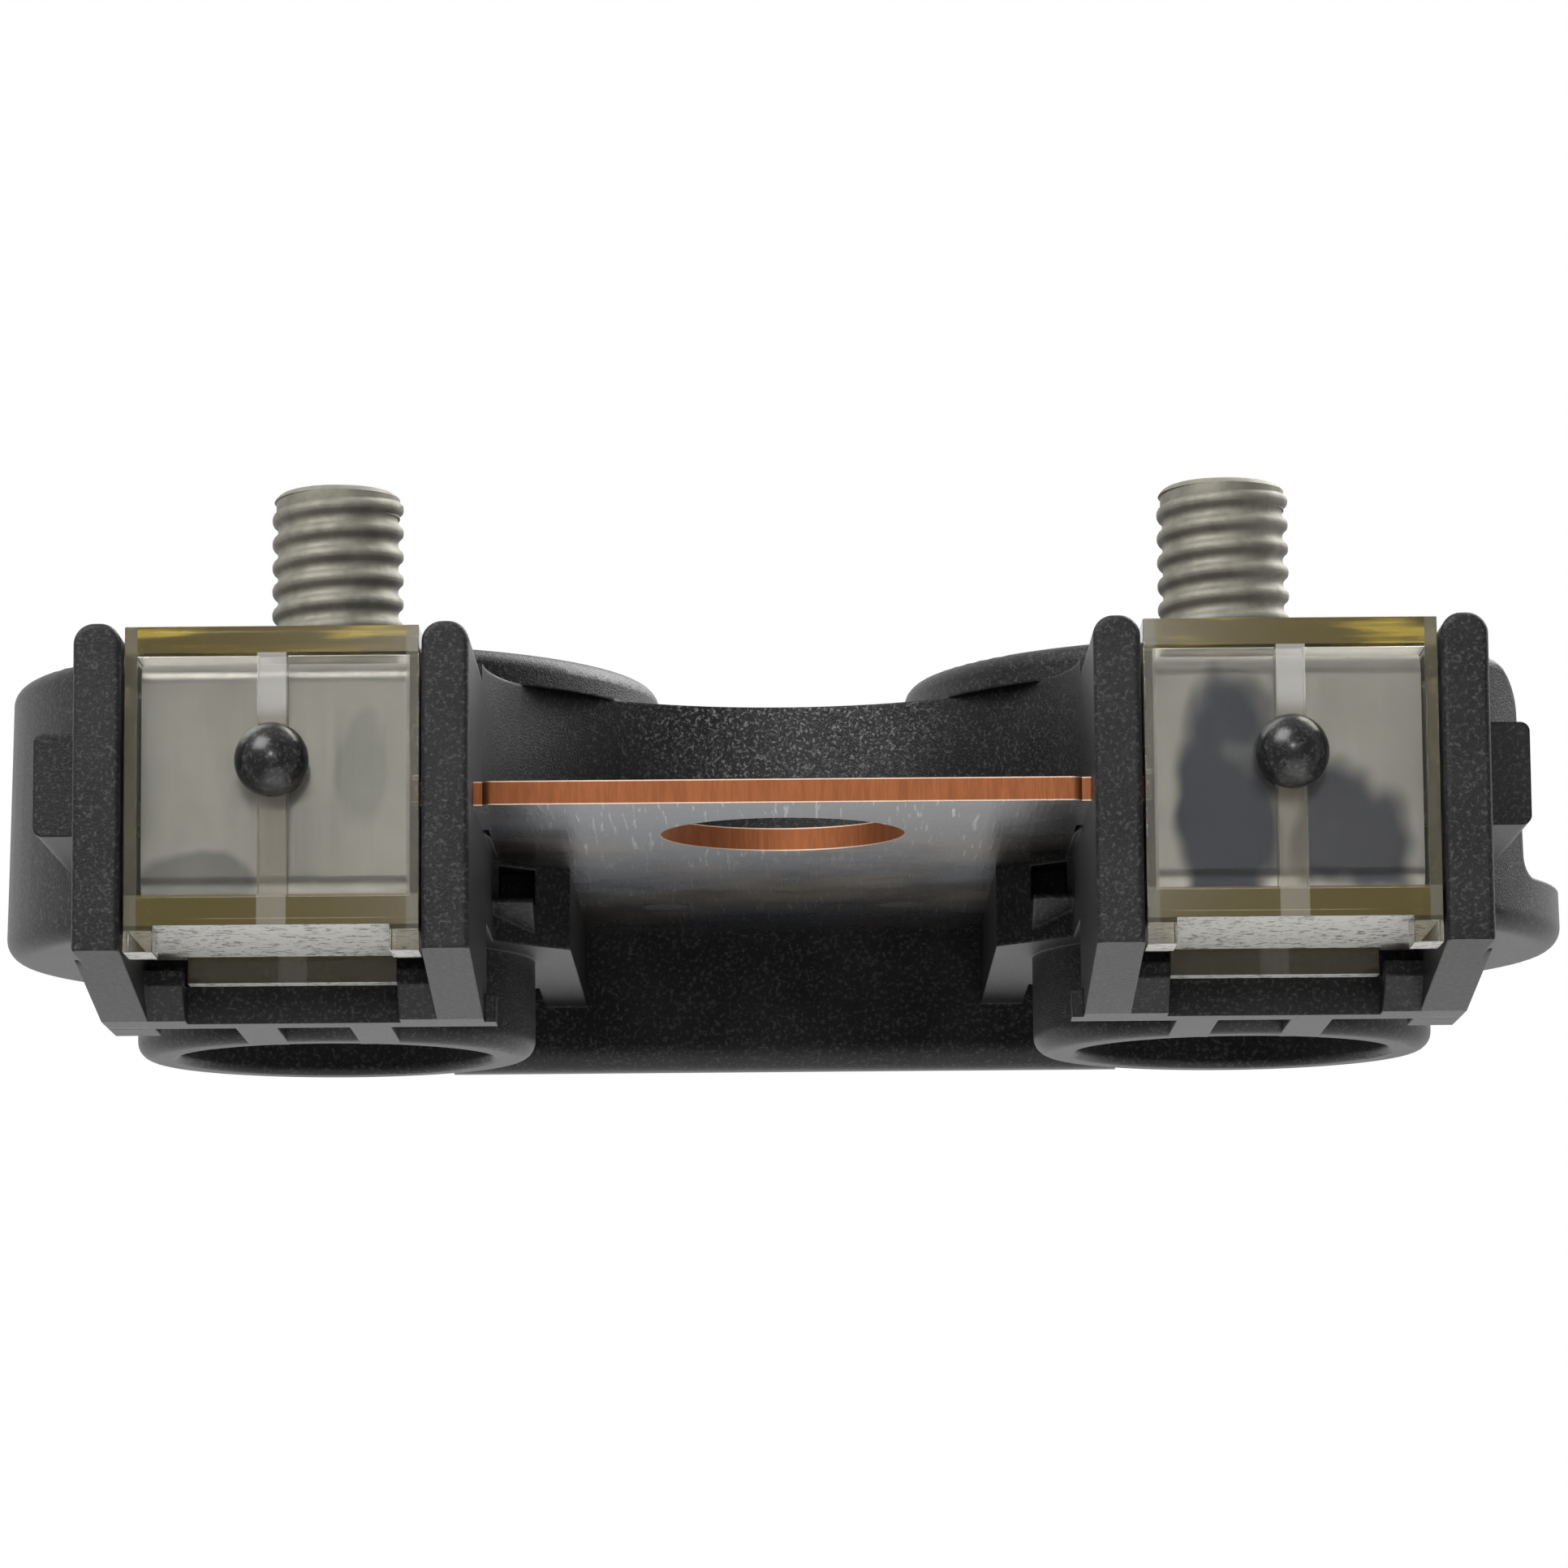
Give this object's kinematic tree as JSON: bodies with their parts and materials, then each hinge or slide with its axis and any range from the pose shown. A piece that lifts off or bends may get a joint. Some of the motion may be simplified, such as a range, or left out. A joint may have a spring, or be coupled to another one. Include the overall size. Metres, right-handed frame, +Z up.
{
  "type": "battery fuse",
  "caption": "Battery fuse block: a flat bus bar for the battery bolt, threaded output studs in round cups, and fuse links behind clear covers.",
  "frame": {"origin": "middle of the width and depth, on the plane that the ring feet stand on", "axes": "X along the length through both cups, the clear covers face -Y, +Z up along the studs"},
  "size_m": [0.07, 0.0502, 0.026],
  "materials": {
    "housing": "black glass-filled plastic, fine moulded grain",
    "plated_copper": "tin-plated copper sheet, bare copper at the cut edges",
    "stud": "dull plated steel with a rolled thread",
    "cover": "clear plastic, slightly yellow at its edges"
  },
  "bodies": {
    "root": {"housing": "housing", "bus_bar": "plated_copper", "terminal_left": "plated_copper", "terminal_right": "plated_copper", "link_left": "plated_copper", "link_right": "plated_copper", "stud_left": "stud", "stud_right": "stud", "cover_left": "cover", "cover_right": "cover"}
  },
  "joints": []
}
